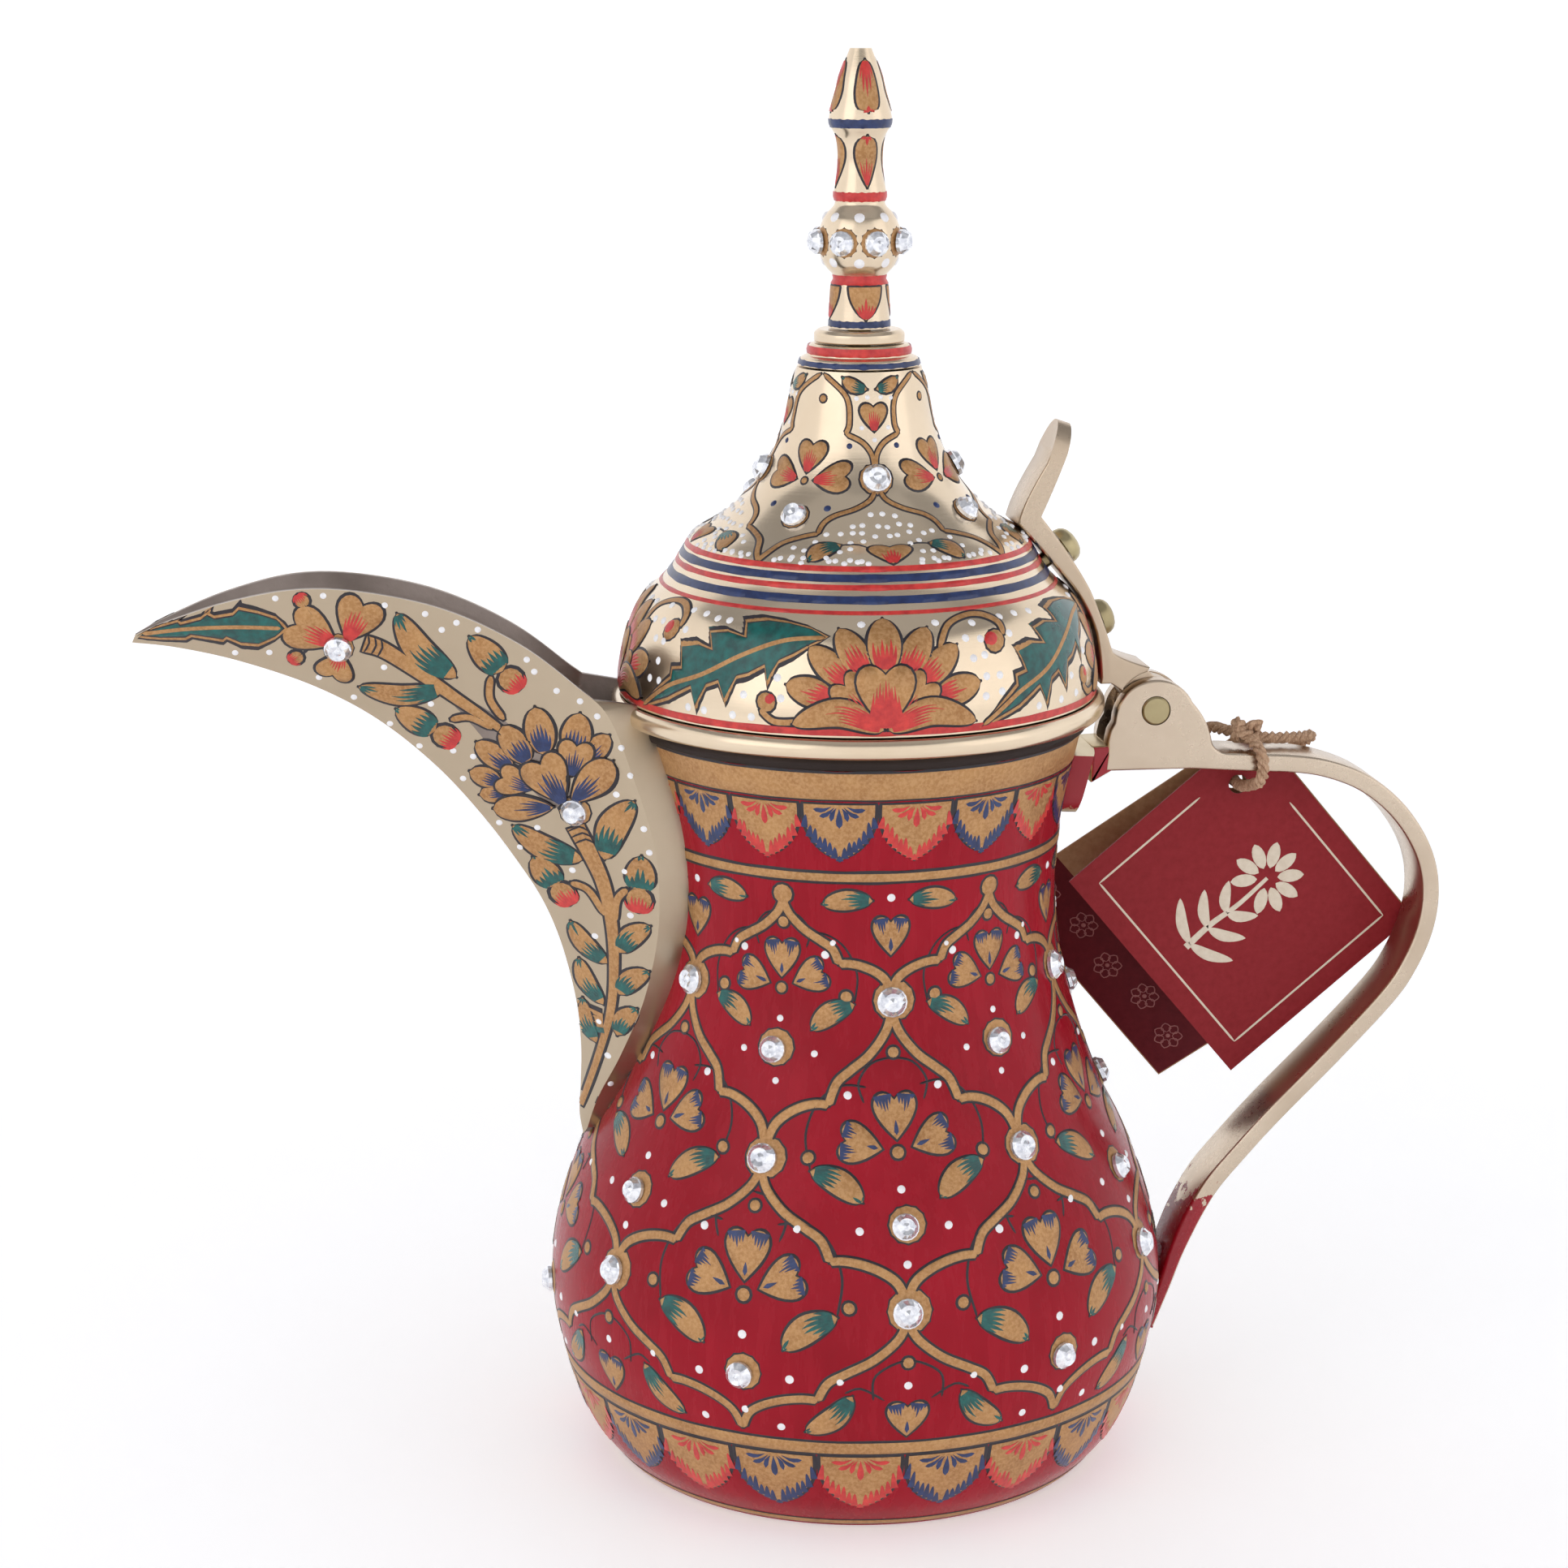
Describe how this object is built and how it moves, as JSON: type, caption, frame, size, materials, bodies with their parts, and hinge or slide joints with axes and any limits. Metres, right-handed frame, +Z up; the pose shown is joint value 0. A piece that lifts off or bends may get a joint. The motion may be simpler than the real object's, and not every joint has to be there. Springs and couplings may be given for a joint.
{
  "type": "coffee pot",
  "caption": "Pear-shaped dallah coffee pot with a crescent spout, strap handle, hinged domed lid with a turned finial, painted and studded decoration, and a folded tag on twine.",
  "frame": {"origin": "centre of the base, on the surface the pot stands on", "axes": "+Z up; the spout points to -X and the handle to +X; the pictured side faces -Y"},
  "size_m": [0.2604, 0.1264, 0.28],
  "materials": {
    "red_lacquer": "gloss lacquer with gold, blue, green and white hand painting",
    "polished_brass": "polished",
    "cast_brass": "satin, rubbed bright",
    "turned_brass": "turned, dull",
    "crystal": "faceted, foil-backed",
    "jute": "twisted fibre",
    "printed_card": "printed, kraft inside"
  },
  "bodies": {
    "pot": {"body_shell": "red_lacquer", "base_plate": "turned_brass", "mouth_ring": "turned_brass", "spout": "polished_brass", "handle": "cast_brass", "hinge_pin": "turned_brass", "twine": "jute", "body_stone_1": "crystal", "body_stone_2": "crystal", "body_stone_3": "crystal", "body_stone_4": "crystal", "body_stone_5": "crystal", "body_stone_6": "crystal", "body_stone_7": "crystal", "body_stone_8": "crystal", "body_stone_9": "crystal", "body_stone_10": "crystal", "body_stone_11": "crystal", "body_stone_12": "crystal", "body_stone_13": "crystal", "body_stone_14": "crystal", "body_stone_15": "crystal", "body_stone_16": "crystal", "body_stone_17": "crystal", "spout_stone_1": "crystal", "spout_stone_2": "crystal", "spout_stone_3": "crystal", "spout_stone_4": "crystal"},
    "lid": {"lid_dome": "polished_brass", "lid_rim_ring": "polished_brass", "lid_locating_collar": "turned_brass", "lid_top_ring": "polished_brass", "lid_arm": "cast_brass", "lid_rivet_upper": "polished_brass", "lid_rivet_lower": "polished_brass", "rivet_washer_upper": "turned_brass", "rivet_washer_lower": "turned_brass", "finial_collar": "polished_brass", "finial_spindle": "polished_brass", "finial_stud": "turned_brass", "finial_nut": "turned_brass", "lid_stone_1": "crystal", "lid_stone_2": "crystal", "lid_stone_3": "crystal", "lid_stone_4": "crystal", "lid_stone_5": "crystal", "lid_stone_6": "crystal", "lid_stone_7": "crystal", "lid_stone_8": "crystal", "ball_stone_1": "crystal", "ball_stone_2": "crystal", "ball_stone_3": "crystal", "ball_stone_4": "crystal", "ball_stone_5": "crystal", "ball_stone_6": "crystal", "ball_stone_7": "crystal", "ball_stone_8": "crystal"},
    "tag": {"hang_tag": "printed_card"}
  },
  "joints": [
    {"name": "lid_hinge", "type": "hinge", "parent": "pot", "child": "lid", "pos_m": [0.0592, 0, 0.1509], "axis": [0, 1, 0], "range_deg": [0, 85]},
    {"name": "tag_swing", "type": "hinge", "parent": "pot", "child": "tag", "pos_m": [0.0804, 0, 0.1395], "axis": [1, 0, 0], "range_deg": [0, 85], "deforming": ["twine"]}
  ]
}
